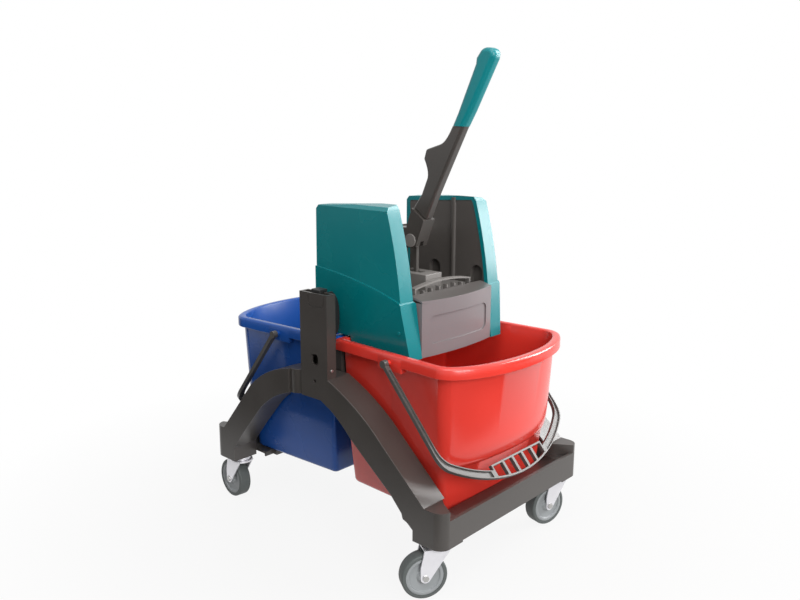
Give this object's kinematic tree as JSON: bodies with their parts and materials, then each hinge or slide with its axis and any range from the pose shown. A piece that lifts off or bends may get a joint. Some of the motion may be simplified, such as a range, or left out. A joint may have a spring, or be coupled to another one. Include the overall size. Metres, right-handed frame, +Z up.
{
  "type": "double mop bucket trolley",
  "caption": "Mop trolley: an arched frame on swivel casters carries lift-out buckets with hinged bails end to end and a hook-on lever press for wringing the mop.",
  "frame": {"origin": "on the floor under the middle of the frame", "axes": "+Z up, +X along the trolley towards the red bucket, +Y across the trolley away from the side seen in the picture"},
  "size_m": [0.618, 0.4594, 0.848],
  "materials": {
    "frame_plastic": "fine-grained moulded",
    "red_plastic": "satin moulded",
    "blue_plastic": "satin moulded",
    "bail_plastic": "satin moulded",
    "teal_plastic": "satin moulded",
    "grip_plastic": "satin moulded",
    "dark_plastic": "moulded",
    "grey_plastic": "satin moulded",
    "press_plastic": "moulded",
    "black_plastic": "moulded",
    "zinc_steel": "bright zinc plate",
    "bright_steel": "turned",
    "wheel_plastic": "moulded",
    "tyre_rubber": "non-marking rubber"
  },
  "bodies": {
    "frame": {"near_front_arm": "frame_plastic", "near_rear_arm": "frame_plastic", "far_front_arm": "frame_plastic", "far_rear_arm": "frame_plastic", "near_tower": "frame_plastic", "far_tower": "frame_plastic", "front_beam": "frame_plastic", "rear_beam": "frame_plastic", "cross_beam": "frame_plastic", "block_fn": "frame_plastic", "block_ff": "frame_plastic", "block_rn": "frame_plastic", "block_rf": "frame_plastic", "frame_screws": "bright_steel", "stem_fn": "zinc_steel", "stem_ff": "zinc_steel", "stem_rn": "zinc_steel", "stem_rf": "zinc_steel"},
    "swivel_fn": {"fork_fn": "zinc_steel", "axle_fn": "bright_steel"},
    "wheel_fn": {"hub_fn": "wheel_plastic", "tyre_fn": "tyre_rubber"},
    "swivel_ff": {"fork_ff": "zinc_steel", "axle_ff": "bright_steel"},
    "wheel_ff": {"hub_ff": "wheel_plastic", "tyre_ff": "tyre_rubber"},
    "swivel_rn": {"fork_rn": "zinc_steel", "axle_rn": "bright_steel"},
    "wheel_rn": {"hub_rn": "wheel_plastic", "tyre_rn": "tyre_rubber"},
    "swivel_rf": {"fork_rf": "zinc_steel", "axle_rf": "bright_steel"},
    "wheel_rf": {"hub_rf": "wheel_plastic", "tyre_rf": "tyre_rubber"},
    "red_tub": {"red_bucket": "red_plastic"},
    "red_handle": {"red_bail": "bail_plastic"},
    "blue_tub": {"blue_bucket": "blue_plastic"},
    "blue_handle": {"blue_bail": "bail_plastic"},
    "wringer": {"near_cheek": "teal_plastic", "far_cheek": "teal_plastic", "near_panel": "dark_plastic", "far_panel": "dark_plastic", "front_panel": "grey_plastic", "chamber_wall": "dark_plastic", "rear_wall": "dark_plastic", "drain_tray": "dark_plastic", "near_hanger": "black_plastic", "far_hanger": "black_plastic", "lever_axle": "bright_steel", "cheek_screws": "teal_plastic"},
    "lever": {"lever_socket": "frame_plastic", "lever_arm": "frame_plastic", "lever_grip": "grip_plastic", "crank_pin": "press_plastic"},
    "drive_link": {"link": "dark_plastic", "link_pin": "bright_steel"},
    "presser": {"press_plate": "press_plastic", "press_comb": "press_plastic"}
  },
  "joints": [
    {"name": "swivel_fn_turn", "type": "hinge", "parent": "frame", "child": "swivel_fn", "pos_m": [0.258, -0.172, 0.081], "axis": [0, 0, 1], "continuous": true},
    {"name": "wheel_fn_spin", "type": "hinge", "parent": "swivel_fn", "child": "wheel_fn", "pos_m": [0.24457, -0.19309, 0.0375], "axis": [0.8434, -0.5373, 0], "continuous": true},
    {"name": "swivel_ff_turn", "type": "hinge", "parent": "frame", "child": "swivel_ff", "pos_m": [0.258, 0.172, 0.081], "axis": [0, 0, 1], "continuous": true},
    {"name": "wheel_ff_spin", "type": "hinge", "parent": "swivel_ff", "child": "wheel_ff", "pos_m": [0.25153, 0.14785, 0.0375], "axis": [0.9659, -0.2588, 0], "continuous": true},
    {"name": "swivel_rn_turn", "type": "hinge", "parent": "frame", "child": "swivel_rn", "pos_m": [-0.244, -0.172, 0.081], "axis": [0, 0, 1], "continuous": true},
    {"name": "wheel_rn_spin", "type": "hinge", "parent": "swivel_rn", "child": "wheel_rn", "pos_m": [-0.26892, -0.17004, 0.0375], "axis": [-0.0785, -0.9969, 0], "continuous": true},
    {"name": "swivel_rf_turn", "type": "hinge", "parent": "frame", "child": "swivel_rf", "pos_m": [-0.244, 0.172, 0.081], "axis": [0, 0, 1], "continuous": true},
    {"name": "wheel_rf_spin", "type": "hinge", "parent": "swivel_rf", "child": "wheel_rf", "pos_m": [-0.25743, 0.19309, 0.0375], "axis": [-0.8434, -0.5373, 0], "continuous": true},
    {"name": "wringer_lift", "type": "slide", "parent": "frame", "child": "wringer", "axis": [0, 0, 1], "range_m": [0, 0.5]},
    {"name": "red_tub_lift", "type": "slide", "parent": "frame", "child": "red_tub", "axis": [0, 0, 1], "range_m": [0, 0.3]},
    {"name": "blue_tub_lift", "type": "slide", "parent": "frame", "child": "blue_tub", "axis": [0, 0, 1], "range_m": [0, 0.3]},
    {"name": "red_handle_swing", "type": "hinge", "parent": "red_tub", "child": "red_handle", "pos_m": [0.138, 0, 0.354], "axis": [0, -1, 0], "range_deg": [0, 100]},
    {"name": "blue_handle_swing", "type": "hinge", "parent": "blue_tub", "child": "blue_handle", "pos_m": [-0.138, 0, 0.354], "axis": [0, 1, 0], "range_deg": [0, 140]},
    {"name": "lever_swing", "type": "hinge", "parent": "wringer", "child": "lever", "pos_m": [-0.022, 0, 0.53], "axis": [0, 1, 0], "range_deg": [-30, 35]},
    {"name": "link_swing", "type": "hinge", "parent": "lever", "child": "drive_link", "pos_m": [0.058, 0, 0.53], "axis": [0, 1, 0], "range_deg": [-35, 30]},
    {"name": "presser_slide", "type": "slide", "parent": "wringer", "child": "presser", "axis": [0, 0, 1], "range_m": [-0.0465, 0.04]}
  ],
  "couplings": [
    {"joint": "red_tub_lift", "follows": "wringer_lift", "ratio": 0.6},
    {"joint": "blue_tub_lift", "follows": "wringer_lift", "ratio": 0.6},
    {"joint": "link_swing", "follows": "lever_swing", "ratio": -1},
    {"joint": "presser_slide", "follows": "lever_swing", "m_per_rad": -0.0755}
  ]
}
